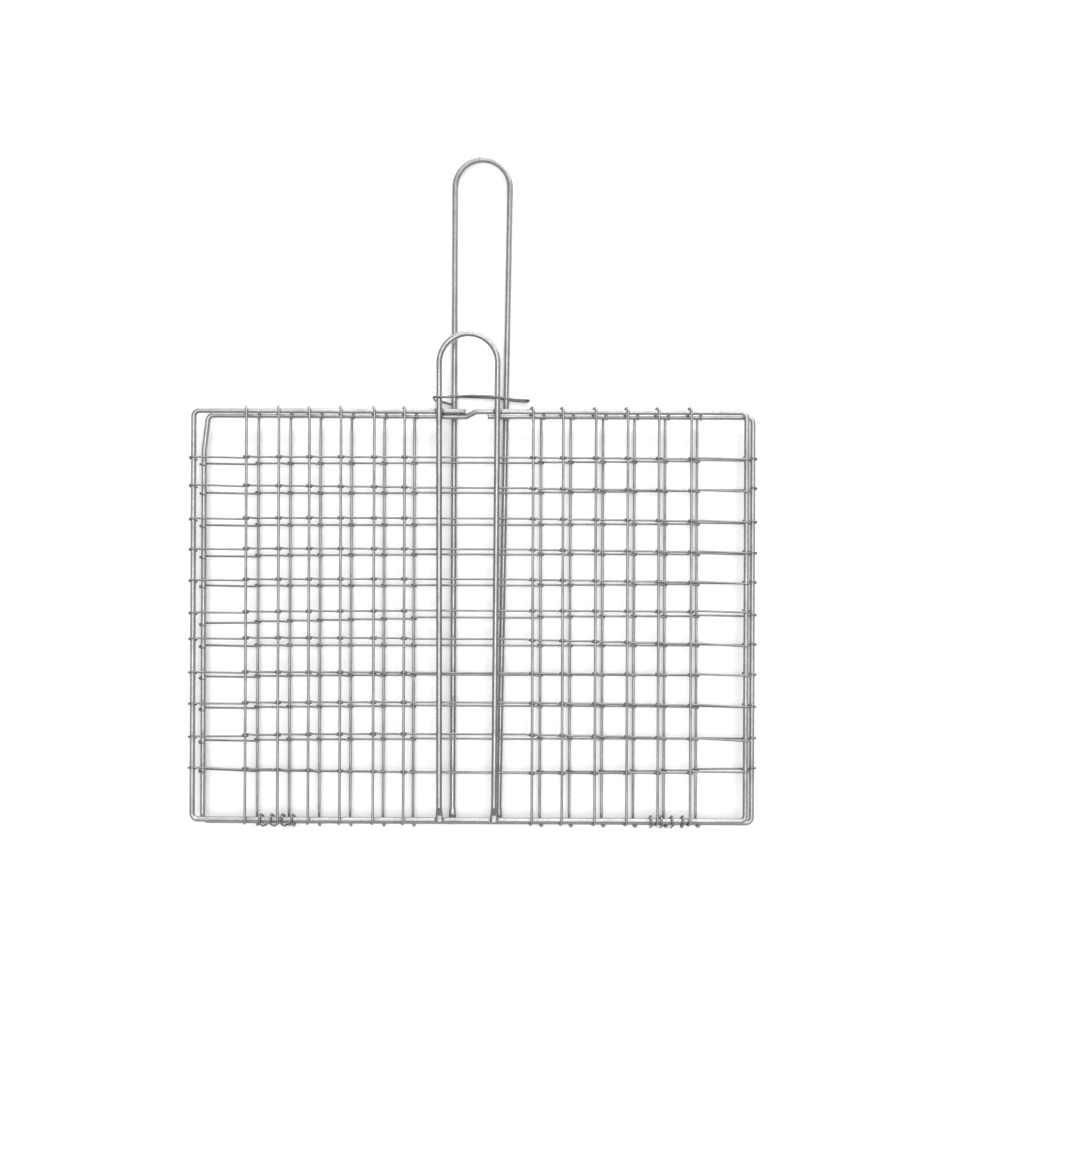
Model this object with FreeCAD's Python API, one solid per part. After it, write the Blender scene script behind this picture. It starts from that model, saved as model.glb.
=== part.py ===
import FreeCAD, Part

# Grill basket: two hinged grids of galvanised steel wire that hold food between them,
# each with a hairpin handle, locked shut by a sliding wire ring.
# Millimetres. The closed basket lies flat: +X across the grids, +Y towards the end of the
# long handle, +Z up from the back grid to the front grid. The origin is on the surface
# that the basket lies on, under the centre of its bounding box.

import math
import os
from FreeCAD import Vector

X = Vector(1, 0, 0)
Y = Vector(0, 1, 0)
Z = Vector(0, 0, 1)

# Wire diameters
rim_wire = 3.8
handle_wire = 4.2
stay_wire = 1.9
row_wire = 1.4
coil_wire = 1.5
ring_wire = 1.5

# Clearances
touch = 0.02          # between a wire and what it is hooked over
wrap_gap = 0.06       # between a row and the stay it is wrapped round
beside = 0.1          # between two strands of one wire that lie side by side
swing_gap = 0.3       # between the front grid's hooks and the back bottom rail, all the way round
ring_gap = 0.3        # between the lock ring and the handle legs

# Rims, measured to the wire's centre line
rim_width = 398.0
rim_height = 294.0
corner_radius = 4.2
grid_offset = 5.7     # the back grid sits this far to the right of the front one
grid_drop = 2.4       # and this far below it

back_tuck = 2.5       # the back rim's top left corner is knocked in by this much
back_tuck_length = 22.0

# Laps and gaps in the rims' top rails, measured from the grid's centre line
front_lap = (-20.8, -3.8)
lap_jog = 9.0
lap_tilt = 30.0       # degrees that the lower end lies behind the upper one
back_gap = (-16.6, 6.9)

# Handles: hairpins whose legs run down the outside of the grids
front_loop = 55.3     # from the top rail to the top of the bend
back_loop = 187.7
front_bend = 21.0     # radius of the bend
back_bend = 20.0
front_leg_spacing = 39.2
back_leg_spacing = 33.5
front_leg_centre = -1.3
back_leg_centre = -1.3
back_lean = 0.4       # degrees that the long handle leans to the right
leg_sink = 0.02       # how far the legs are pressed into the top rail
paddle_sink = 0.3     # how far their flattened ends are pressed into the bottom rail
paddle_thickness = 2.2
paddle_width = 5.2
paddle_length = 4.0
paddle_taper = 6.0
paddle_overrun = 0.6  # how far a flattened end reaches past the bottom rail's centre

# Stays: wires along Y, half of them on each side of the handle legs
stays_a_side = 6
stay_edge_gap = 39.4  # side rail to the first stay
stay_middle_gap = 92.2
stay_centre = -0.7
stay_set = (0, 0.6, -0.2, -0.3, 0.9, 0, 0, -1.2, -0.4, -0.2, -0.6, 0)
top_tail = 50.0       # degrees that a stay's end goes on round the top rail
bottom_tail = 15.0

# Rows: wires along X, wrapped once round each stay
row_count = 11
row_top_gap = 33.2    # top rail to the first row
row_bottom_gap = 38.2
row_tail = 45.0
kink_radius = 2.5     # where a row leaves a wrap
wrap_settle = 4.5     # length over which it comes back into line
front_row_set = (-0.4, 0.2, -0.6, -0.3, -0.3, 0.1, 0.9, 0.6, 0.3, -1.5, -1.6)
back_row_set = (0.2, 1.2, -0.5, -0.8, 0.2, -3.1, 0.5, 0.4, -0.3, -1.2, -0.3)
front_row_lean = (-0.1, -3.2, -1.2, -1.5, -1.1, 1.7, -4.0, -1.0, -1.0, -1.7, -1.8)
back_row_lean = (3.7, 3.5, 2.7, 2.8, 2.9, 6.7, 1.5, 2.3, 1.8, 2.7, 1.9)
front_row_bow = (0.5, 0.3, 1.4, 1.2, 1.9, 1.2, 2.3, 0.4, 1.8, 3.1, -2.2)
back_row_bow = (-0.6, -1.2, -0.4, 0.6, -0.6, 1.6, 0, 1.0, 1.5, 0.7, -2.2)

# Hinge coils: loose coils round both bottom rails
coil_radius = 3.5     # centre line, round either rail
coil_spacing = 7.0    # least distance between two turns
coil_turns = 4
coil_tail = 110.0
left_coil_stay = 0    # the stay that each coil starts from, and the turns it skips there
right_coil_stay = 9
left_coil_skip = 1
right_coil_skip = 2

# Lock ring
ring_width = 70.0     # outside
ring_corner = 3.2     # centre line
ring_centre = 2.2     # from the back grid's centre line
ring_rise = 10.7      # above the back top rail
ring_skew = -1.9
ring_bow = 1.8        # the near strand's rise in the middle
ring_bow_from = 26.0  # from the ring's centre
ring_bow_to = 6.0
ring_back_rise = 4.2  # the far strand's
ring_end = -24.0      # the two ends, behind the left legs
ring_tail = (-20.5, -2.2)
ring_tail_from = -29.0

# Sizes that follow
front_reach = rim_height + front_loop
back_reach = rim_height + back_loop
ring_height = rim_height + ring_rise
rim_radius = rim_wire / 2
handle_radius = handle_wire / 2
stay_radius = stay_wire / 2
row_radius = row_wire / 2
stay_level = rim_radius + touch + stay_radius
wrap_radius = stay_radius + wrap_gap + row_radius
row_level = stay_level - wrap_radius
row_hook = rim_radius + touch + row_radius
leg_level = rim_radius + handle_radius - leg_sink
hook_reach = stay_level + stay_radius
grid_gap = rim_radius + hook_reach + swing_gap
ring_half = grid_gap / 2 + leg_level + handle_radius + ring_gap + ring_wire / 2
floor_drop = ring_half + ring_wire / 2 - grid_gap / 2


class Bend:
    """A wire that is bent step by step: straight runs joined by tangent arcs."""

    def __init__(self, point, heading):
        self.point = Vector(point)
        self.heading = Vector(heading).normalize()
        self.edges = []

    def run(self, length):
        """Go straight on."""
        end = self.point + self.heading * length
        self.edges.append(Part.LineSegment(self.point, end).toShape())
        self.point = end

    def turn(self, inward, degrees):
        """Turn about the centre that lies at inward from here."""
        centre = self.point + inward
        angle = math.radians(degrees)

        def at(part):
            return centre - inward * math.cos(part) + self.heading * inward.Length * math.sin(part)

        end = at(angle)
        self.edges.append(Part.Arc(self.point, at(angle / 2), end).toShape())
        side = Vector(inward).normalize()
        self.heading = (self.heading * math.cos(angle) + side * math.sin(angle)).normalize()
        self.point = end

    def jog(self, target, radius):
        """Reach the target through a bend, a run and a bend back, ending with the same heading."""
        along = (target - self.point).dot(self.heading)
        aside = target - self.point - self.heading * along
        if aside.Length < 1e-6:
            self.run(along)
            return
        heading = Vector(self.heading)
        rise = aside.Length - 2 * radius
        span = math.hypot(along, rise)
        angle = math.degrees(math.atan2(rise, along) + math.asin(2 * radius / span))
        self.turn(aside * (radius / aside.Length), angle)
        self.run(math.sqrt(span ** 2 - 4 * radius ** 2))
        back = heading - self.heading * heading.dot(self.heading)
        self.turn(back * (radius / back.Length), angle)
        self.heading = heading
        self.point = Vector(target)

    def wrap(self, across, shift):
        """Go once round a crossing wire whose centre is at across, and come out moved by shift."""
        self.turn(across + shift * 0.25, 180)
        self.turn(across * -1 + shift * 0.25, 180)

    def hook(self, across, shift, tail):
        """Go half round a crossing wire, moved by shift, and tail degrees further."""
        self.turn(across + shift * 0.5, 180)
        self.turn(across * -1, tail)


def wire_solid(diameter, path, other_way=None):
    """The round wire along a path, which may also go the other way from the path's start."""
    edges = list(path.edges)
    end = path
    if other_way:
        edges = list(reversed(other_way.edges)) + edges
    spine = Part.Wire(Part.__sortEdges__(edges))
    section = Part.Face(Part.Wire(Part.makeCircle(diameter / 2, end.point, end.heading)))
    return spine.makePipe(section)


class Grid:
    """The sizes that differ between the front grid (outward +1) and the back grid (-1)."""

    def __init__(self, name, outward, origin, rows):
        self.name = name
        self.out = Z * outward
        self.outward = outward
        self.origin = origin
        self.row_set, self.row_lean, self.row_bow = rows

    def row_height(self, number, x):
        """Y of a row at x: even steps down the grid, with its own set, lean and bow."""
        pitch = (rim_height - row_top_gap - row_bottom_gap) / (row_count - 1)
        even = rim_height - row_top_gap - number * pitch
        share = x / rim_width
        bow = self.row_bow[number] * (1 - 4 * share ** 2)
        return even + self.row_set[number] + self.row_lean[number] * share + bow


def stay_places():
    """X of each stay, from the grid's centre line."""
    pitch = (rim_width - stay_middle_gap) / 2 - stay_edge_gap
    pitch = pitch / (stays_a_side - 1)
    places = []
    for number in range(stays_a_side):
        places.append(stay_centre - stay_middle_gap / 2 - (stays_a_side - 1 - number) * pitch)
    for number in range(stays_a_side):
        places.append(stay_centre + stay_middle_gap / 2 + number * pitch)
    return [place + shift for place, shift in zip(places, stay_set)]


def rim_path(start_x, tuck, tuck_length):
    """The rim from a point of its top rail, leftwards and round to the right end of that rail."""
    path = Bend(Vector(start_x, rim_height, 0), X * -1)
    side = rim_height - 2 * corner_radius
    across = rim_width - 2 * corner_radius
    path.run(start_x + across / 2 - tuck)
    path.turn(Y * -corner_radius, 90)
    path.jog(path.point - Y * tuck_length - X * tuck, corner_radius)
    path.run(side - tuck_length)
    path.turn(X * corner_radius, 90)
    path.run(across)
    path.turn(Y * corner_radius, 90)
    path.run(side)
    path.turn(X * -corner_radius, 90)
    return path


def front_rim():
    """A closed rectangle whose two ends lie side by side on the top rail."""
    path = rim_path(front_lap[1], 0, corner_radius)
    path.run(path.point.x - front_lap[1] - lap_jog)
    tilt = math.radians(lap_tilt)
    behind = (Y * math.cos(tilt) + Z * math.sin(tilt)) * -(rim_wire + touch)
    path.jog(Vector(front_lap[1] + touch, rim_height, 0) + behind, rim_wire)
    path.run(path.point.x - front_lap[0])
    return wire_solid(rim_wire, path)


def back_rim():
    """The same rectangle, with its ends apart and bridged by the handle's legs."""
    path = rim_path(back_gap[0], back_tuck, back_tuck_length)
    path.run(path.point.x - back_gap[1])
    return wire_solid(rim_wire, path)


def stay(grid, place):
    """A wire along the grid's outer face, hooked over its bottom and top rails."""
    shift = X * -(stay_wire + beside) * grid.outward
    down = Bend(X * place + grid.out * stay_level, Y * -1)
    down.hook(grid.out * -stay_level, shift, bottom_tail)
    up = Bend(X * place + grid.out * stay_level, Y)
    up.run(rim_height)
    up.hook(grid.out * -stay_level, shift, top_tail)
    return wire_solid(stay_wire, up, down)


def row(grid, number):
    """A wire wrapped once round each stay on the inner side, hooked over the side rails."""
    strand = Y * (row_wire + beside)

    def at(x, level):
        return Vector(x, grid.row_height(number, x), 0) + grid.out * level

    left_end = Bend(at(-rim_width / 2, row_hook), X * -1)
    left_end.hook(grid.out * -row_hook, strand * -1, row_tail)
    path = Bend(at(-rim_width / 2, row_hook), X)
    places = stay_places()
    path.jog(at(places[0], row_level) - strand * 0.5, kink_radius)
    for place, following in zip(places, places[1:]):
        path.wrap(grid.out * wrap_radius, strand)
        line = at((place + following) / 2, row_level)
        path.jog(Vector(place + wrap_settle, line.y, line.z), kink_radius)
        path.run(following - place - 2 * wrap_settle)
        path.jog(at(following, row_level) - strand * 0.5, kink_radius)
    path.wrap(grid.out * wrap_radius, strand)
    path.jog(at(rim_width / 2, row_hook), kink_radius)
    path.hook(grid.out * -row_hook, strand, row_tail)
    return wire_solid(row_wire, path, left_end)


def handle(grid, reach, radius, leg_spacing, leg_centre, lean):
    """A hairpin whose legs lie on the grid's outer face and end flattened on the bottom rail."""
    bend_height = reach - radius
    slant = math.asin(radius / math.hypot(leg_spacing / 2, bend_height))
    slant -= math.atan2(leg_spacing / 2, bend_height)
    up = Vector(-math.sin(slant), math.cos(slant), 0)
    inward = Vector(math.cos(slant), math.sin(slant), 0)
    top_of_leg = Vector(0, bend_height, 0) - inward * radius
    leg_length = top_of_leg.y / math.cos(slant)
    round_from = paddle_length + paddle_taper
    start = top_of_leg - up * (leg_length - round_from) + grid.out * leg_level

    path = Bend(start, up)
    path.run(leg_length - round_from)
    path.turn(inward * radius, 180 + 2 * math.degrees(slant))
    path.run(leg_length - round_from)
    solid = wire_solid(handle_wire, path)
    right_up = Vector(-up.x, up.y, 0)
    for end, upward in ((start, up), (path.point, right_up)):
        solid = solid.fuse(paddle(grid, end, upward))
    solid = solid.removeSplitter()
    solid.rotate(Vector(0, 0, 0), Z, -lean)
    solid.translate(X * leg_centre)
    return solid


def paddle(grid, end, upward):
    """The flattened end of a handle leg, tapering from the round wire to the bottom rail."""
    level = rim_radius - paddle_sink + paddle_thickness / 2
    flat_from = end - upward * paddle_taper + grid.out * (level - leg_level)
    flat_to = flat_from - upward * (paddle_length + paddle_overrun)
    across = upward.cross(grid.out).normalize()
    sections = [Part.Wire(Part.makeCircle(handle_radius, end, upward * -1))]
    for centre in (flat_from, flat_to):
        oval = Part.Ellipse(
            centre + across * (paddle_width / 2), centre + grid.out * (paddle_thickness / 2), centre
        )
        sections.append(Part.Wire(oval.toShape()))
    return Part.makeLoft(sections, True, True)


def coil_planes(first_stay, skip):
    """X of a coil's turns, from the back grid's centre line, in planes that no stay crosses."""
    places = stay_places()
    planes = []
    for here, following in zip(places[first_stay:], places[first_stay + 1:]):
        between = following - here
        turns = int(between // coil_spacing)
        for turn in range(turns):
            planes.append(here - grid_offset / 2 + turn * between / turns)
    return planes[skip:skip + coil_turns]


def hinge_coil(planes):
    """A loose coil round both bottom rails, moving sideways only underneath them."""
    along = Vector(0, grid_drop, grid_gap)
    length = along.Length
    along.normalize()
    outward = X.cross(along) * -coil_radius
    start = X * planes[0] + outward
    under = Bend(start, along * -1)
    under.turn(outward * -1, coil_tail)
    path = Bend(start, along)
    for place, following in zip(planes, planes[1:] + [None]):
        path.run(length)
        path.turn(outward * -1, 180)
        path.run(length)
        if following is None:
            path.turn(outward, coil_tail)
        else:
            path.turn(outward + X * ((following - place) / 2), 180)
    return wire_solid(coil_wire, path, under)


def lock_ring():
    """A loop of wire round all four handle legs, its ends one above the other behind them."""
    straight = (ring_width - ring_wire) / 2 - ring_corner
    side = 2 * (ring_half - ring_corner)
    path = Bend(Vector(ring_tail[0], ring_tail[1], -ring_half), X * -1)
    path.jog(Vector(ring_tail_from, 0, -ring_half), ring_wire)
    path.run(path.point.x + straight)
    path.turn(Z * ring_corner, 90)
    path.run(side)
    path.turn(X * ring_corner, 90)
    path.run(straight - ring_bow_from)
    path.jog(Vector(-ring_bow_to, ring_bow, ring_half), ring_bow_from)
    path.run(2 * ring_bow_to)
    path.jog(Vector(ring_bow_from, 0, ring_half), ring_bow_from)
    path.run(straight - ring_bow_from)
    path.turn(Z * -ring_corner, 90)
    path.run(side)
    path.turn(X * -ring_corner, 90)
    path.run(straight - ring_bow_from)
    path.jog(Vector(ring_bow_to, ring_back_rise, -ring_half), ring_wire)
    path.run(path.point.x - ring_end)
    solid = wire_solid(ring_wire, path)
    solid.rotate(Vector(0, 0, 0), Z, ring_skew)
    solid.translate(Vector(ring_centre, ring_height, grid_gap / 2))
    return solid


def build():
    """Every piece by name, with the origin on the back bottom rail's centre line."""
    front_rows = (front_row_set, front_row_lean, front_row_bow)
    back_rows = (back_row_set, back_row_lean, back_row_bow)
    front = Grid("front", 1, Vector(-grid_offset, grid_drop, grid_gap), front_rows)
    back = Grid("back", -1, Vector(0, 0, 0), back_rows)
    pieces = {}
    pieces["front_rim"] = front_rim()
    pieces["front_handle"] = handle(
        front, front_reach, front_bend, front_leg_spacing, front_leg_centre, 0
    )
    pieces["back_rim"] = back_rim()
    pieces["back_handle"] = handle(
        back, back_reach, back_bend, back_leg_spacing, back_leg_centre, back_lean
    )
    for grid in (front, back):
        for number, place in enumerate(stay_places()):
            pieces[f"{grid.name}_stay_{number + 1}"] = stay(grid, place)
        for number in range(row_count):
            pieces[f"{grid.name}_row_{number + 1}"] = row(grid, number)
    for name, piece in pieces.items():
        if name.startswith(front.name):
            piece.translate(front.origin)
    pieces["left_hinge_coil"] = hinge_coil(coil_planes(left_coil_stay, left_coil_skip))
    pieces["right_hinge_coil"] = hinge_coil(coil_planes(right_coil_stay, right_coil_skip))
    pieces["lock_ring"] = lock_ring()
    return pieces


pieces = build()
box = Part.makeCompound(list(pieces.values())).optimalBoundingBox(False, False)
to_origin = Vector(-box.Center.x, -box.Center.y, floor_drop)
os.makedirs("parts", exist_ok=True)
for name, piece in pieces.items():
    piece.translate(to_origin)
    piece.exportStep(f"parts/{name}.step")
    if not piece.isValid() or len(piece.Solids) != 1:
        print(name, "is not one valid solid")
print("back bottom rail at", to_origin)
print("hinge axis at", to_origin + Vector(0, grid_drop, grid_gap))
print("size", box.XLength, box.YLength, box.ZLength)
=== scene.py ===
"""Looks for a hinged grill basket of galvanised wire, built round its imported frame.

The frame gives every wire its place and shape, but for the lock ring, whose gripped end
is bent here. This script gives each wire a galvanised finish that follows the way the
wire was drawn, and adds what the forming and joining leave behind: weld beads, sheared
wire ends with a burr, and press marks on the flattened ends of the handles. Metres, in
the frame's own axes.
"""

import logging
import math
import random
from dataclasses import dataclass
from enum import Enum
from typing import Sequence

import bmesh
import bpy
import numpy
from mathutils import Matrix, Vector, noise


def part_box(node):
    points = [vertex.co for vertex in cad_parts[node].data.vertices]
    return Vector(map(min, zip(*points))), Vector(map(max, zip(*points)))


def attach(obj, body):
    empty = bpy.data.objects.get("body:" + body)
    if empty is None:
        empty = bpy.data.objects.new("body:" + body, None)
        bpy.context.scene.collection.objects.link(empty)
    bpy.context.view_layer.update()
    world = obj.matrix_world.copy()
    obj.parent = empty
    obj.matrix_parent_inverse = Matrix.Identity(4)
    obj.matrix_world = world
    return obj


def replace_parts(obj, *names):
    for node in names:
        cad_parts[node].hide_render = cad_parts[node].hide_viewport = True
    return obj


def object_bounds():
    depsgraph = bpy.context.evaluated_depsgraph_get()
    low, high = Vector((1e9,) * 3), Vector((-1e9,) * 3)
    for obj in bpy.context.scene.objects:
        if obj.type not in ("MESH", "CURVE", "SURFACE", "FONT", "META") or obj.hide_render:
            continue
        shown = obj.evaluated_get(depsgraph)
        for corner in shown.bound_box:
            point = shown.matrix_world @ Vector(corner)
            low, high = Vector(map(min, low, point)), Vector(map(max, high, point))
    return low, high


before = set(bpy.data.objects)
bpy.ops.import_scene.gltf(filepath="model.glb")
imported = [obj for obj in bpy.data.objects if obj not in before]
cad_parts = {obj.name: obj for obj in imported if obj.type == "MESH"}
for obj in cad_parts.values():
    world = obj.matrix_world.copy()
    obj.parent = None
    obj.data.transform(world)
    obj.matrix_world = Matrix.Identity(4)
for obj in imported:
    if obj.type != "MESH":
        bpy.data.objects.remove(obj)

logging.basicConfig(level=logging.INFO, format="%(message)s")
log = logging.getLogger("grill_basket")

CAD_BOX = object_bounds()
MM = 0.001
MERGE_DISTANCE = 0.001 * MM
SHARP_EDGE = 0.5        # faces whose normals' dot product is lower meet at a sharp edge
FLAT_FACE = 0.95        # a face that looks along a wire's end at least this much is on its flat end
END_REACH = 2.2         # one end's sharp edges lie this near each other, in wire radii
FACE_REACH = 1.5        # and the faces on them this near its middle
WIRE_GAP = 2.0 * MM     # a wider gap lies between two wires and not within one

Triple = tuple[float, float, float]
Socket = bpy.types.NodeSocket
Material = bpy.types.Material
Finishes = dict[str, bpy.types.Material]


class Lie(Enum):
    """The way a wire runs, as the drawing lines' repeats to the metre along X, Y and Z."""

    ACROSS = (22.0, 2100.0, 2100.0)
    ALONG = (2100.0, 22.0, 2100.0)
    WOUND = (520.0, 520.0, 520.0)


class Side(Enum):
    """The two grids: the body that each rides on and the way that its outer face looks."""

    FRONT = ("front", "front_frame", 1.0)
    BACK = ("back", "back_frame", -1.0)

    @property
    def prefix(self) -> str:
        """The start of the grid's node names."""
        return self.value[0]

    @property
    def body(self) -> str:
        """The body that the grid's pieces ride on."""
        return self.value[1]

    @property
    def outward(self) -> float:
        """+1 where the grid's outer face looks up, -1 where it looks down."""
        return self.value[2]


@dataclass(frozen=True)
class Galvanised:
    """A zinc-coated wire finish: its tone, spangle, dull bloom, drawing lines and rubbed bands."""

    name: str
    tone: Triple
    lie: Lie
    metallic: float = 0.92
    roughness: float = 0.34
    spangle: float = 0.16
    bloom: float = 0.30
    edge_tint: float = 0.85
    crystals_per_metre: float = 700.0
    patches_per_metre: float = 55.0
    grains_per_metre: float = 3200.0
    line_strength: float = 0.45
    line_height: float = 0.06 * MM
    grain_strength: float = 0.22
    grain_height: float = 0.03 * MM
    rubbed_from: float | None = None
    rubbed_to: float = 0.0
    polish: float = 0.1
    seed: float = 0.0

    def material(self) -> Material:
        """Build the node material.

        Returns:
            The finished material.
        """
        built = bpy.data.materials.new(self.name)
        built.use_nodes = True
        nodes = built.node_tree.nodes
        shader = nodes["Principled BSDF"]
        shader.inputs["Metallic"].default_value = self.metallic
        shader.inputs["Specular Tint"].default_value = (*[self.edge_tint] * 3, 1.0)
        place = nodes.new("ShaderNodeTexCoord").outputs["Object"]
        spangle = self._crystals(built, place)
        patches = self._noise(built, place, (self.patches_per_metre,) * 3, detail=4.0)
        lines = self._noise(built, place, self.lie.value, detail=3.0)
        grain = self._noise(built, place, (self.grains_per_metre,) * 3, detail=2.0)
        self._colour(built, shader, spangle, patches, lines)
        self._gloss(built, shader, place, patches, lines)
        self._relief(built, shader, lines, grain)
        return built

    def _mapped(self, built: Material, place: Socket, scale: Triple) -> Socket:
        """Stretch coordinates by scale and set them off by the finish's own seed.

        Args:
            built: The material that gets the node.
            place: The coordinates to read.
            scale: How much they are stretched along each axis.

        Returns:
            The stretched coordinates.
        """
        mapping = built.node_tree.nodes.new("ShaderNodeMapping")
        mapping.inputs["Scale"].default_value = scale
        mapping.inputs["Location"].default_value = (self.seed, self.seed * 0.7, self.seed * 1.3)
        built.node_tree.links.new(place, mapping.inputs["Vector"])
        return mapping.outputs["Vector"]

    def _noise(self, built: Material, place: Socket, scale: Triple, detail: float) -> Socket:
        """Add a noise pattern stretched by scale.

        Args:
            built: The material that gets the nodes.
            place: The coordinates to read.
            scale: Pattern repeats to the metre along each axis.
            detail: How many octaves the noise has.

        Returns:
            The noise value, from 0 to 1.
        """
        cloud = built.node_tree.nodes.new("ShaderNodeTexNoise")
        cloud.inputs["Scale"].default_value = 1.0
        cloud.inputs["Detail"].default_value = detail
        built.node_tree.links.new(self._mapped(built, place, scale), cloud.inputs["Vector"])
        return cloud.outputs["Fac"]

    def _crystals(self, built: Material, place: Socket) -> Socket:
        """Add the zinc's small crystals, each with a grey of its own.

        Args:
            built: The material that gets the nodes.
            place: The coordinates to read.

        Returns:
            The crystal's grey, from 0 to 1.
        """
        nodes, links = built.node_tree.nodes, built.node_tree.links
        cells = nodes.new("ShaderNodeTexVoronoi")
        cells.inputs["Scale"].default_value = 1.0
        links.new(self._mapped(built, place, (self.crystals_per_metre,) * 3), cells.inputs["Vector"])
        grey = nodes.new("ShaderNodeRGBToBW")
        links.new(cells.outputs["Color"], grey.inputs["Color"])
        return grey.outputs["Val"]

    def _ramp(self, built: Material, value: Socket, stops: Sequence[tuple[float, Triple]]) -> Socket:
        """Turn a value into a colour.

        Args:
            built: The material that gets the nodes.
            value: The value to read.
            stops: Positions and colours of the ramp, in order.

        Returns:
            The colour.
        """
        ramp = built.node_tree.nodes.new("ShaderNodeValToRGB")
        elements = ramp.color_ramp.elements
        while len(elements) < len(stops):
            elements.new(0.5)
        for element, (position, colour) in zip(elements, stops):
            element.position = position
            element.color = (*colour, 1.0)
        built.node_tree.links.new(value, ramp.inputs["Fac"])
        return ramp.outputs["Color"]

    def _mix(self, built: Material, share: float, low: Socket, high: Socket, blend: str = "MIX") -> Socket:
        """Mix two colours.

        Args:
            built: The material that gets the nodes.
            share: How much of the second colour shows.
            low: The first colour.
            high: The second colour.
            blend: Blender's name for the way that they mix.

        Returns:
            The mixed colour.
        """
        links = built.node_tree.links
        mix = built.node_tree.nodes.new("ShaderNodeMix")
        mix.data_type = "RGBA"
        mix.blend_type = blend
        mix.inputs["Factor"].default_value = share
        first, second = (plug for plug in mix.inputs if plug.type == "RGBA")
        links.new(low, first)
        links.new(high, second)
        return next(plug for plug in mix.outputs if plug.type == "RGBA")

    def _shade(self, share: float) -> Triple:
        """The tone made lighter or darker by a share of itself."""
        return tuple(min(1.0, part * (1.0 + share)) for part in self.tone)

    def _colour(
        self, built: Material, shader: bpy.types.Node, spangle: Socket, patches: Socket, lines: Socket
    ) -> None:
        """Colour the zinc: crystals, slow patches of duller coating, and darker drawing lines.

        Args:
            built: The material that gets the nodes.
            shader: Its shader.
            spangle: The crystals' greys.
            patches: The slow patches.
            lines: The drawing lines.
        """
        fine = self._ramp(
            built, spangle, ((0.25, self._shade(-self.spangle)), (0.75, self._shade(self.spangle)))
        )
        slow = self._ramp(
            built, patches, ((0.32, self._shade(-self.bloom)), (0.52, self.tone), (0.72, self._shade(0.14)))
        )
        drawn = self._ramp(built, lines, ((0.28, (0.62, 0.62, 0.62)), (0.46, (1.0, 1.0, 1.0))))
        zinc = self._mix(built, 0.5, fine, slow)
        colour = self._mix(built, 0.6, zinc, drawn, "MULTIPLY")
        built.node_tree.links.new(colour, shader.inputs["Base Color"])

    def _gloss(
        self, built: Material, shader: bpy.types.Node, place: Socket, patches: Socket, lines: Socket
    ) -> None:
        """Vary the roughness with the patches and the lines, and polish the rubbed band.

        Args:
            built: The material that gets the nodes.
            shader: Its shader.
            place: The coordinates to read.
            patches: The slow patches.
            lines: The drawing lines.
        """
        nodes, links = built.node_tree.nodes, built.node_tree.links
        both = nodes.new("ShaderNodeMath")
        both.operation = "ADD"
        links.new(patches, both.inputs[0])
        links.new(lines, both.inputs[1])
        gloss = self._range(
            built, both.outputs[0], (0.6, 1.4), (self.roughness + 0.14, self.roughness - 0.08)
        )
        if self.rubbed_from is not None:
            split = nodes.new("ShaderNodeSeparateXYZ")
            links.new(place, split.inputs["Vector"])
            polish = self._range(
                built, split.outputs["Y"], (self.rubbed_from, self.rubbed_to), (self.polish, 0.0)
            )
            less = nodes.new("ShaderNodeMath")
            less.operation = "SUBTRACT"
            links.new(gloss, less.inputs[0])
            links.new(polish, less.inputs[1])
            gloss = less.outputs[0]
        links.new(gloss, shader.inputs["Roughness"])

    def _range(
        self, built: Material, value: Socket, given: tuple[float, float], wanted: tuple[float, float]
    ) -> Socket:
        """Turn one range of values into another.

        Args:
            built: The material that gets the nodes.
            value: The value to read.
            given: Its two limits.
            wanted: What they become.

        Returns:
            The value in the wanted range.
        """
        spread = built.node_tree.nodes.new("ShaderNodeMapRange")
        spread.inputs["From Min"].default_value, spread.inputs["From Max"].default_value = given
        spread.inputs["To Min"].default_value, spread.inputs["To Max"].default_value = wanted
        built.node_tree.links.new(value, spread.inputs["Value"])
        return spread.outputs["Result"]

    def _relief(self, built: Material, shader: bpy.types.Node, lines: Socket, grain: Socket) -> None:
        """Raise the drawing lines and the fine grain of the zinc.

        Args:
            built: The material that gets the nodes.
            shader: Its shader.
            lines: The drawing lines.
            grain: The fine grain.
        """
        nodes, links = built.node_tree.nodes, built.node_tree.links
        below = None
        layers = (
            (lines, self.line_strength, self.line_height),
            (grain, self.grain_strength, self.grain_height),
        )
        for pattern, strength, height in layers:
            bump = nodes.new("ShaderNodeBump")
            bump.inputs["Strength"].default_value = strength
            bump.inputs["Distance"].default_value = height
            links.new(pattern, bump.inputs["Height"])
            if below is not None:
                links.new(below, bump.inputs["Normal"])
            below = bump.outputs["Normal"]
        links.new(below, shader.inputs["Normal"])


@dataclass(frozen=True)
class Shear:
    """The proportions of a sheared wire end, as shares of the wire's radius."""

    sunk: float = 0.12
    flange: float = 1.015
    lip: float = 0.17
    edge_in: float = 0.16
    edge_up: float = 0.09
    tear_in: float = 0.3
    tear_down: float = 0.05
    crown_low: float = -0.06
    crown_high: float = 0.08
    burr_out: float = 0.28
    burr_side: float = 0.05
    burr_sharpness: int = 3


@dataclass(frozen=True)
class Lumps:
    """How the skin of a weld bead goes up and down."""

    subdivisions: int = 4
    per_radius: float = 1.7
    apart: float = 900.0
    fall_off: float = 0.9
    finer_by: float = 2.0
    octaves: int = 4


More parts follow.
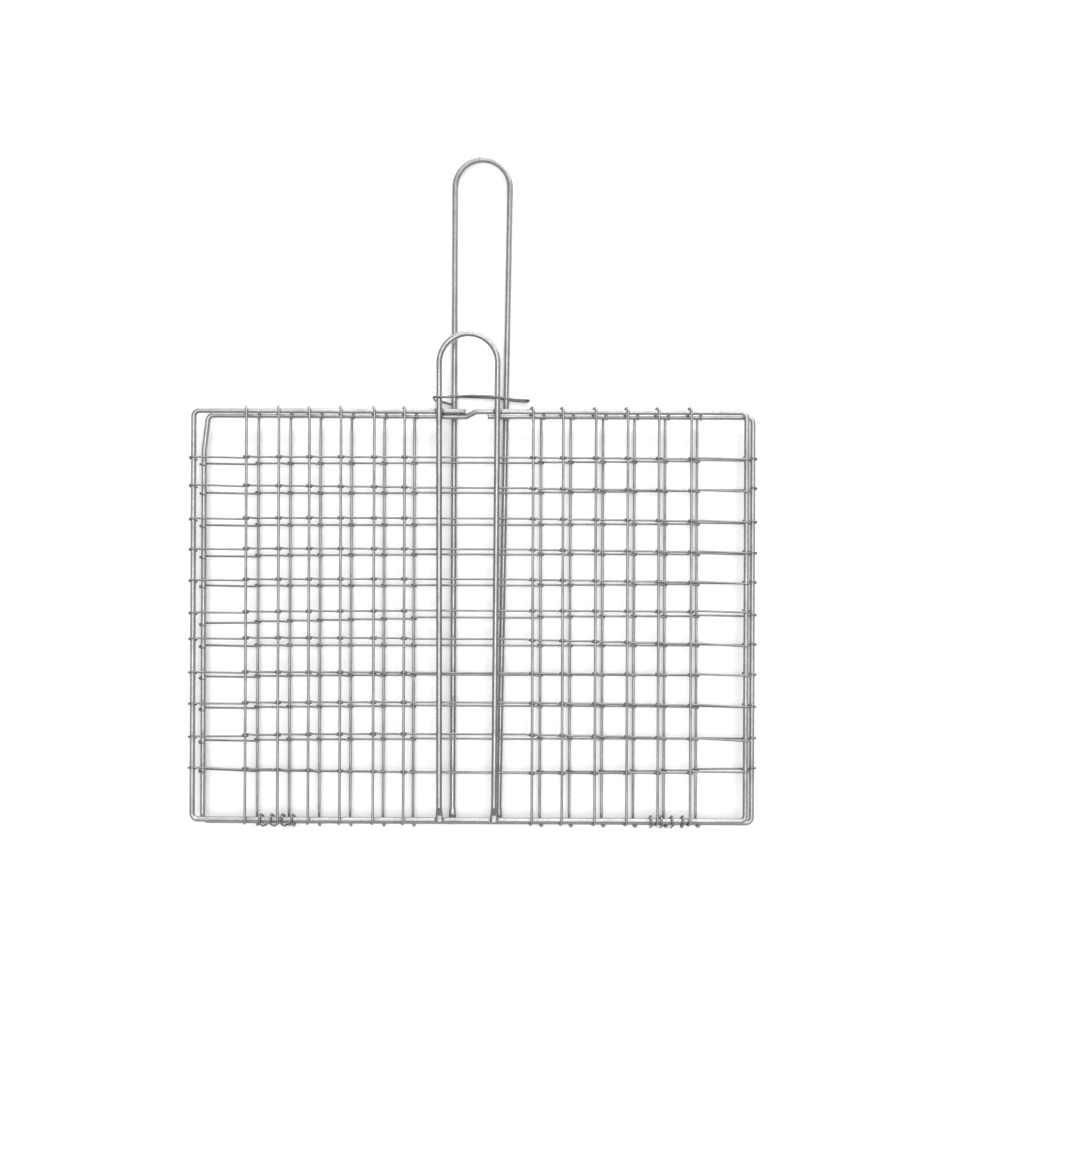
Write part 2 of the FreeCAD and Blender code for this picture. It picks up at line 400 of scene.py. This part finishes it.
class Piece:
    """A mesh that grows shape by shape and then rides on a body."""

    shear = Shear()
    lumps = Lumps()
    ridge_sides = 8
    ridge_steps = 14
    ridge_sweep = math.radians(136.0)

    def __init__(self, name: str) -> None:
        """Start an empty mesh."""
        self.name = name
        self.shape = bmesh.new()

    def settle(self, body: str, finish: Material) -> bpy.types.Object:
        """Turn the shapes into an object.

        Args:
            body: The body that it rides on.
            finish: Its material.

        Returns:
            The object.
        """
        faces = len(self.shape.faces)
        for face in self.shape.faces:
            face.smooth = True
        mesh = bpy.data.meshes.new(self.name)
        self.shape.to_mesh(mesh)
        self.shape.free()
        mesh.materials.append(finish)
        made = bpy.data.objects.new(self.name, mesh)
        bpy.context.scene.collection.objects.link(made)
        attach(made, body)
        log.info("%s: %d faces on %s", self.name, faces, body)
        return made

    def nugget(self, place: Vector, radii: Triple, rough: float) -> None:
        """Add a lump of squeezed-out metal with an uneven skin.

        Args:
            place: Its centre.
            radii: Its half sizes along X, Y and Z.
            rough: How far its skin goes up and down, as a share of its size.
        """
        skin = self.lumps
        ball = bmesh.ops.create_icosphere(self.shape, subdivisions=skin.subdivisions, radius=1.0)
        for vert in ball["verts"]:
            spot = vert.co * skin.per_radius + place * skin.apart
            vert.co *= 1.0 + rough * noise.fractal(spot, skin.fall_off, skin.finer_by, skin.octaves)
            vert.co = Vector(part * size for part, size in zip(vert.co, radii)) + place

    def cut_end(
        self, place: Vector, outward: Vector, radius: float, segments: int, draw: random.Random
    ) -> None:
        """Add a sheared wire end: a raised torn face inside a drawn-over edge, with a burr.

        Args:
            place: The middle of the wire's flat end.
            outward: The way that the end looks.
            radius: The wire's radius.
            segments: How many sides the end gets.
            draw: The source of the unevenness.
        """
        turned = outward.to_track_quat("Z", "Y").to_matrix().to_4x4()
        form = self.shear
        seat = Matrix.Translation(place - outward * radius * form.sunk) @ turned
        disc = bmesh.ops.create_circle(
            self.shape, cap_ends=True, segments=segments, radius=radius * form.flange, matrix=seat
        )
        face = disc["verts"][0].link_faces[0]
        grown = bmesh.ops.extrude_face_region(self.shape, geom=[face], use_keep_orig=True)
        lip = [part for part in grown["geom"] if isinstance(part, bmesh.types.BMVert)]
        bmesh.ops.translate(self.shape, verts=lip, vec=outward * radius * form.lip)
        top = next(part for part in grown["geom"] if isinstance(part, bmesh.types.BMFace))
        for inset, rise in ((form.edge_in, form.edge_up), (form.tear_in, -form.tear_down)):
            bmesh.ops.inset_region(self.shape, faces=[top], thickness=radius * inset, depth=radius * rise)
        crown = bmesh.ops.poke(self.shape, faces=[top])["verts"][0]
        crown.co += outward * radius * draw.uniform(form.crown_low, form.crown_high)
        burr = draw.uniform(0.0, math.tau)
        side = turned.to_3x3() @ Vector((math.cos(burr), math.sin(burr), 0.0))
        for vert in lip:
            facing = max(0.0, (vert.co - place).normalized().dot(side)) ** form.burr_sharpness
            vert.co += (outward * form.burr_out + side * form.burr_side) * radius * facing
        inner = disc["verts"][0].link_faces[0]
        bmesh.ops.recalc_face_normals(self.shape, faces=connected_faces(inner))

    def ridge(
        self, place: Vector, outward: float, half_width: float, half_height: float, wire: float
    ) -> None:
        """Add a ridge over the outer half of a flattened wire that runs along Y.

        Args:
            place: The wire's middle.
            outward: +1 where the outer half looks up, -1 where it looks down.
            half_width: Half of the wire's width.
            half_height: Half of its thickness.
            wire: The ridge's own thickness.
        """
        first = (math.pi - self.ridge_sweep) / 2
        start = Matrix.Rotation(first * -outward, 4, "Y") @ Matrix.Translation((1.0, 0.0, 0.0))
        squash = Matrix.Diagonal((wire / half_height / 2, wire / 2, 1.0, 1.0))
        ring = bmesh.ops.create_circle(
            self.shape, cap_ends=True, segments=self.ridge_sides, radius=1.0, matrix=start @ squash
        )
        face = ring["verts"][0].link_faces[0]
        arc = bmesh.ops.spin(
            self.shape,
            geom=[face],
            cent=(0.0, 0.0, 0.0),
            axis=(0.0, -outward, 0.0),
            angle=self.ridge_sweep,
            steps=self.ridge_steps,
        )
        last = next(part for part in arc["geom_last"] if isinstance(part, bmesh.types.BMFace))
        made = connected_faces(last)
        corners = {vert for part in made for vert in part.verts}
        sized = Matrix.Translation(place) @ Matrix.Diagonal((half_width, 1.0, half_height, 1.0))
        bmesh.ops.transform(self.shape, matrix=sized, verts=list(corners))
        bmesh.ops.recalc_face_normals(self.shape, faces=made)


def connected_faces(first: bmesh.types.BMFace) -> list[bmesh.types.BMFace]:
    """Find every face that hangs together with the first one.

    Args:
        first: The face to start from.

    Returns:
        The faces, the first one among them.
    """
    found, waiting = {first}, [first]
    while waiting:
        for edge in waiting.pop().edges:
            for face in edge.link_faces:
                if face not in found:
                    found.add(face)
                    waiting.append(face)
    return list(found)


def merged_triangles(node: str) -> tuple[numpy.ndarray, numpy.ndarray, numpy.ndarray]:
    """Read a frame node's loose triangles as triangles that share their corners.

    Args:
        node: The node.

    Returns:
        The corners' places, each triangle's three corners, and each triangle's normal.
    """
    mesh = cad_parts[node].data
    places = numpy.empty(len(mesh.vertices) * 3)
    corners = numpy.empty(len(mesh.loops), dtype=int)
    normals = numpy.empty(len(mesh.polygons) * 3)
    mesh.vertices.foreach_get("co", places)
    mesh.loops.foreach_get("vertex_index", corners)
    mesh.polygons.foreach_get("normal", normals)
    places, joined = numpy.unique(places.reshape(-1, 3), axis=0, return_inverse=True)
    return places, joined.ravel()[corners].reshape(-1, 3), normals.reshape(-1, 3)


def flat_ends(node: str, radius: float) -> list[tuple[Vector, Vector]]:
    """Find the flat round ends of a frame wire, which alone have sharp edges.

    Args:
        node: The wire's node.
        radius: The wire's radius.

    Returns:
        The middle of each end and the way that it looks.
    """
    places, faces, normals = merged_triangles(node)
    pairs = numpy.stack((faces, numpy.roll(faces, -1, axis=1)), axis=2)
    edges = numpy.sort(pairs.reshape(-1, 2), axis=1)
    order = numpy.lexsort((edges[:, 0], edges[:, 1]))
    same = (edges[order[:-1]] == edges[order[1:]]).all(axis=1)
    first, second = order[:-1][same] // 3, order[1:][same] // 3
    sharp = (normals[first] * normals[second]).sum(axis=1) < SHARP_EDGE
    rims = numpy.unique(edges[order[:-1][same][sharp]])
    touching = numpy.concatenate((first[sharp], second[sharp]))
    ends = []
    while len(rims):
        near = numpy.linalg.norm(places[rims] - places[rims[0]], axis=1) < radius * END_REACH
        loop = places[rims[near]]
        rims = rims[~near]
        middle = (loop.min(axis=0) + loop.max(axis=0)) / 2
        outward = numpy.linalg.svd(loop - loop.mean(axis=0))[2][2]
        away = numpy.linalg.norm(places[faces[touching]].mean(axis=1) - middle, axis=1)
        around = normals[touching[away < radius * FACE_REACH]]
        flat = around[abs(around @ outward) > FLAT_FACE]
        ends.append((Vector(loop.mean(axis=0)), Vector(flat.mean(axis=0)).normalized()))
    return ends


def wire_sections(node: str, height: float) -> list[Vector]:
    """Find where a frame node's wires cross a line across the grids.

    Args:
        node: The node.
        height: Y of the line.

    Returns:
        The wires' centres, from left to right.
    """
    shape = bmesh.new()
    shape.from_mesh(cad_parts[node].data)
    bmesh.ops.remove_doubles(shape, verts=shape.verts, dist=MERGE_DISTANCE)
    everything = shape.verts[:] + shape.edges[:] + shape.faces[:]
    cut = bmesh.ops.bisect_plane(
        shape, geom=everything, plane_co=(0.0, height, 0.0), plane_no=(0.0, 1.0, 0.0)
    )
    places = [part.co.copy() for part in cut["geom_cut"] if isinstance(part, bmesh.types.BMVert)]
    shape.free()
    places.sort(key=lambda place: place.x)
    groups = [[places[0]]]
    for place in places[1:]:
        if place.x - groups[-1][-1].x > WIRE_GAP:
            groups.append([])
        groups[-1].append(place)
    return [Vector((min(part) + max(part)) / 2 for part in zip(*group)) for group in groups]


@dataclass
class GridSide:
    """One grid: its finishes, its sheared wire ends and its handle's welds."""

    side: Side
    rim_radius: float = 1.9 * MM
    stay_radius: float = 0.95 * MM
    row_radius: float = 0.7 * MM
    flat_width: float = 5.2 * MM
    flat_thickness: float = 2.2 * MM
    flat_level: float = 2.7 * MM
    ridge_pitch: float = 0.95 * MM
    ridge_count: int = 5
    ridge_start: float = 0.1
    ridge_wire: float = 0.34 * MM
    ridge_inset: float = 0.06 * MM
    ridge_sunk: float = 0.02 * MM
    thin_sides: int = 12
    rim_sides: int = 40
    cross_weld: Triple = (3.3 * MM, 3.2 * MM, 1.25 * MM)
    cross_weld_sunk: float = 0.1 * MM
    cross_weld_rough: float = 0.16
    foot_weld: Triple = (3.5 * MM, 2.3 * MM, 0.95 * MM)
    foot_weld_sunk: float = 0.35 * MM
    foot_weld_up: float = 0.6 * MM
    foot_weld_rough: float = 0.2
    tack: Triple = (0.95 * MM, 0.8 * MM, 0.7 * MM)
    tack_rough: float = 0.14
    tacks_along: tuple[float, ...] = (-17.0 * MM, -15.8 * MM, -8.6 * MM, -7.4 * MM)
    groove_down: float = 2.3 * MM
    groove_up: float = 0.15 * MM

    def node(self, piece: str) -> str:
        """The name of one of the grid's nodes."""
        return f"{self.side.prefix}_{piece}"

    def wires(self, kind: str) -> list[str]:
        """The nodes of the grid's stays or rows, in order."""
        start = self.node(kind) + "_"
        return sorted((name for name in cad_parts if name.startswith(start)), key=lambda n: (len(n), n))

    def build(self, finishes: Finishes) -> None:
        """Dress the grid's nodes and add what forming and joining left on them.

        Args:
            finishes: The materials, by the part of the basket that wears them.
        """
        for kind in ("rim", "handle"):
            dress(self.node(kind), finishes[kind])
        for kind in ("stay", "row"):
            for name in self.wires(kind):
                dress(name, finishes[kind])
        cut = finishes["cut"]
        self._cut_ends("stay", self.wires("stay"), self.stay_radius, self.thin_sides, cut)
        self._cut_ends("row", self.wires("row"), self.row_radius, self.thin_sides, cut)
        self._cut_ends("rim", [self.node("rim")], self.rim_radius, self.rim_sides, cut)
        self._handle_welds(finishes["weld"])
        self._press_marks(finishes["handle"])
        if self.side is Side.FRONT:
            self._lap_weld(finishes["weld"])

    def _cut_ends(self, kind: str, nodes: list[str], radius: float, sides: int, finish: Material) -> None:
        """Put a sheared end on every free end of the given wires.

        Args:
            kind: The kind of wire: rim, stay or row.
            nodes: The wires' nodes.
            radius: Their radius.
            sides: How many sides each end gets.
            finish: The ends' material.
        """
        draw = random.Random(f"{self.side.prefix} {kind}")
        piece = Piece(self.node(f"{kind}_ends"))
        for name in nodes:
            for place, outward in flat_ends(name, radius):
                piece.cut_end(place, outward, radius, sides, draw)
        piece.settle(self.side.body, finish)

    def _rails(self) -> tuple[Vector, Vector]:
        """Find the grid's two rails.

        Returns:
            The middles of the bottom and the top rail.
        """
        low, high = (Vector(corner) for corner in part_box(self.node("rim")))
        middle = (low + high) / 2
        if self.side is Side.FRONT:
            middle.z = high.z - self.rim_radius
        bottom = Vector((middle.x, low.y + self.rim_radius, middle.z))
        return bottom, Vector((middle.x, high.y - self.rim_radius, middle.z))

    def _handle_welds(self, finish: Material) -> None:
        """Weld the legs where they cross the top rail and end on the bottom rail.

        Args:
            finish: The welds' material.
        """
        bottom, top = self._rails()
        out = self.side.outward
        piece = Piece(self.node("handle_welds"))
        for leg in wire_sections(self.node("handle"), top.y):
            contact = Vector((leg.x, top.y, top.z + out * (self.rim_radius - self.cross_weld_sunk)))
            piece.nugget(contact, self.cross_weld, self.cross_weld_rough)
        for leg in wire_sections(self.node("handle"), bottom.y):
            level = bottom.z + out * (self.rim_radius - self.foot_weld_sunk)
            contact = Vector((leg.x, bottom.y + self.foot_weld_up, level))
            piece.nugget(contact, self.foot_weld, self.foot_weld_rough)
        piece.settle(self.side.body, finish)

    def _press_marks(self, finish: Material) -> None:
        """Leave the press's ridges on the flattened ends of the handle's legs.

        Args:
            finish: The ridges' material.
        """
        bottom, _ = self._rails()
        out = self.side.outward
        half_width = self.flat_width / 2 - self.ridge_inset
        half_height = self.flat_thickness / 2 - self.ridge_sunk
        piece = Piece(self.node("press_marks"))
        for number in range(self.ridge_count):
            height = bottom.y + (number + self.ridge_start) * self.ridge_pitch
            for leg in wire_sections(self.node("handle"), height):
                place = Vector((leg.x, height, bottom.z + out * self.flat_level))
                piece.ridge(place, out, half_width, half_height, self.ridge_wire)
        piece.settle(self.side.body, finish)

    def _lap_weld(self, finish: Material) -> None:
        """Tack the rim's two ends together in the groove between them.

        Args:
            finish: The tacks' material.
        """
        _, top = self._rails()
        piece = Piece(self.node("lap_weld"))
        for along in self.tacks_along:
            groove = Vector((top.x + along, top.y - self.groove_down, top.z + self.groove_up))
            piece.nugget(groove, self.tack, self.tack_rough)
        piece.settle(self.side.body, finish)


@dataclass
class TieWires:
    """The hinge coils and the lock ring, with their sheared ends."""

    coil_radius: float = 0.75 * MM
    ring_radius: float = 0.75 * MM
    ring_end_share: float = 0.96
    sides: int = 24
    skew_rise: float = 2.5 * MM
    skew_from: float = 11.0 * MM
    skew_over: float = 8.0 * MM
    seed: int = 5

    def build(self, finishes: Finishes) -> None:
        """Dress the coils, put the ring in its skewed shape and shear every free end.

        Args:
            finishes: The materials, by the part of the basket that wears them.
        """
        draw = random.Random(self.seed)
        for name in ("left_hinge_coil", "right_hinge_coil"):
            dress(name, finishes["coil"])
            piece = Piece(f"{name}_ends")
            for place, outward in flat_ends(name, self.coil_radius):
                piece.cut_end(place, outward, self.coil_radius, self.sides, draw)
            piece.settle("back_frame", finishes["cut"])
        self._ring(finishes, draw)

    def _ring(self, finishes: Finishes, draw: random.Random) -> None:
        """Bend the ring's gripped end so that its two strands nearly meet there, as use has left it.

        Args:
            finishes: The materials, by the part of the basket that wears them.
            draw: The source of the cut ends' unevenness.
        """
        low, high = (Vector(corner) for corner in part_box("lock_ring"))
        ring = Piece("skewed_lock_ring")
        ring.shape.from_mesh(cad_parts["lock_ring"].data)
        bmesh.ops.remove_doubles(ring.shape, verts=ring.shape.verts, dist=MERGE_DISTANCE)
        depth = high.z - low.z
        for vert in ring.shape.verts:
            along = min(1.0, max(0.0, (vert.co.x - self.skew_from) / self.skew_over))
            vert.co.y += self.skew_rise * along * (high.z - vert.co.z) / depth
        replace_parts(ring.settle("lock_ring", finishes["ring"]), "lock_ring")
        ends = Piece("lock_ring_ends")
        for place, outward in flat_ends("lock_ring", self.ring_radius):
            ends.cut_end(place, outward, self.ring_radius * self.ring_end_share, self.sides, draw)
        ends.settle("lock_ring", finishes["cut"])


@dataclass(frozen=True)
class SoftBox:
    """A soft light: where it hangs, the point that it faces, its width and height, and its power."""

    name: str
    place: Triple
    target: Triple
    size: tuple[float, float]
    watts: float


@dataclass(frozen=True)
class Studio:
    """A pale floor, soft lights and the camera straight above the basket."""

    floor_half: float = 3.0
    floor_tone: Triple = (0.93, 0.93, 0.925)
    floor_roughness: float = 0.9
    floor_specular: float = 0.1
    key: SoftBox = SoftBox("key_light", (0.6, 2.3, 1.0), (0.0, -0.05, 0.0), (3.8, 1.5), 96.0)
    top: SoftBox = SoftBox("top_light", (0.05, 0.0, 2.1), (0.0, 0.0, 0.0), (2.0, 2.0), 34.0)
    fill: float = 0.52
    fill_colour: Triple = (0.985, 0.99, 1.0)
    camera_distance: float = 0.75
    camera_x: float = 0.04345
    camera_y: float = -0.0642
    camera_roll: float = 0.25
    camera_nearest: float = 0.01
    sensor: float = 36.0
    view_height: float = 0.838150289

    def build(self) -> None:
        """Make the floor, the lights, the world and the camera."""
        self._floor()
        self._world()
        self._hang(self.key)
        self._hang(self.top)
        self._camera()
        bpy.context.scene.view_settings.view_transform = "Standard"

    def _floor(self) -> None:
        """Lay a plain pale floor just under the basket."""
        mesh = bpy.data.meshes.new("floor")
        shape = bmesh.new()
        bmesh.ops.create_grid(shape, x_segments=1, y_segments=1, size=self.floor_half)
        shape.to_mesh(mesh)
        shape.free()
        floor = bpy.data.objects.new("floor", mesh)
        bpy.context.scene.collection.objects.link(floor)
        paint = bpy.data.materials.new("pale_floor")
        paint.use_nodes = True
        shader = paint.node_tree.nodes["Principled BSDF"]
        shader.inputs["Base Color"].default_value = (*self.floor_tone, 1.0)
        shader.inputs["Roughness"].default_value = self.floor_roughness
        shader.inputs["Specular IOR Level"].default_value = self.floor_specular
        mesh.materials.append(paint)

    def _world(self) -> None:
        """Shed even soft light from all round."""
        world = bpy.data.worlds.new("studio")
        world.use_nodes = True
        background = world.node_tree.nodes["Background"]
        background.inputs["Color"].default_value = (*self.fill_colour, 1.0)
        background.inputs["Strength"].default_value = self.fill
        bpy.context.scene.world = world

    def _hang(self, box: SoftBox) -> None:
        """Hang a soft box.

        Args:
            box: The soft box.
        """
        light = bpy.data.lights.new(box.name, "AREA")
        light.shape = "RECTANGLE"
        light.size, light.size_y = box.size
        light.energy = box.watts
        lamp = bpy.data.objects.new(box.name, light)
        lamp.location = box.place
        facing = Vector(box.target) - Vector(box.place)
        lamp.rotation_euler = facing.to_track_quat("-Z", "Y").to_euler()
        bpy.context.scene.collection.objects.link(lamp)

    def _camera(self) -> None:
        """Set the camera, which looks straight down at the closed basket."""
        view = bpy.data.cameras.new("camera")
        view.sensor_width = self.sensor
        view.lens = self.sensor * self.camera_distance / self.view_height
        view.clip_start = self.camera_nearest
        camera = bpy.data.objects.new("camera", view)
        middle = (CAD_BOX[0][2] + CAD_BOX[1][2]) / 2
        camera.location = (self.camera_x, self.camera_y, middle + self.camera_distance)
        camera.rotation_euler = (0.0, 0.0, math.radians(self.camera_roll))
        bpy.context.scene.collection.objects.link(camera)
        bpy.context.scene.camera = camera


def dress(node: str, material: Material) -> None:
    """Give a frame node a material in place of its plain one.

    Args:
        node: The node's name.
        material: The finish that it gets.
    """
    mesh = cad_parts[node].data
    mesh.materials.clear()
    mesh.materials.append(material)


def make_finishes() -> Finishes:
    """Build the finishes.

    Returns:
        The materials, by the part of the basket that wears them.
    """
    finishes = {
        "rim": Galvanised("rim_zinc", (0.37, 0.37, 0.375), Lie.ACROSS),
        "stay": Galvanised("stay_zinc", (0.33, 0.33, 0.335), Lie.ALONG, seed=3.0),
        "row": Galvanised("row_zinc", (0.215, 0.215, 0.218), Lie.ACROSS, seed=7.0),
        "handle": Galvanised(
            "handle_zinc", (0.33, 0.33, 0.334), Lie.ALONG, rubbed_from=0.06, rubbed_to=0.21, seed=11.0
        ),
        "coil": Galvanised("coil_zinc", (0.22, 0.22, 0.222), Lie.WOUND, seed=17.0),
        "ring": Galvanised("ring_zinc", (0.14, 0.14, 0.141), Lie.ACROSS, seed=19.0),
        "cut": Galvanised("sheared_steel", (0.17, 0.17, 0.172), Lie.WOUND, roughness=0.42, seed=23.0),
        "weld": Galvanised("weld_scale", (0.27, 0.27, 0.27), Lie.WOUND, roughness=0.46, bloom=0.4, seed=29.0),
    }
    return {part: finish.material() for part, finish in finishes.items()}


def main() -> None:
    """Dress the basket, add its pieces and set up the studio."""
    finishes = make_finishes()
    for side in Side:
        GridSide(side).build(finishes)
    TieWires().build(finishes)
    Studio().build()


if __name__ == "__main__":
    main()
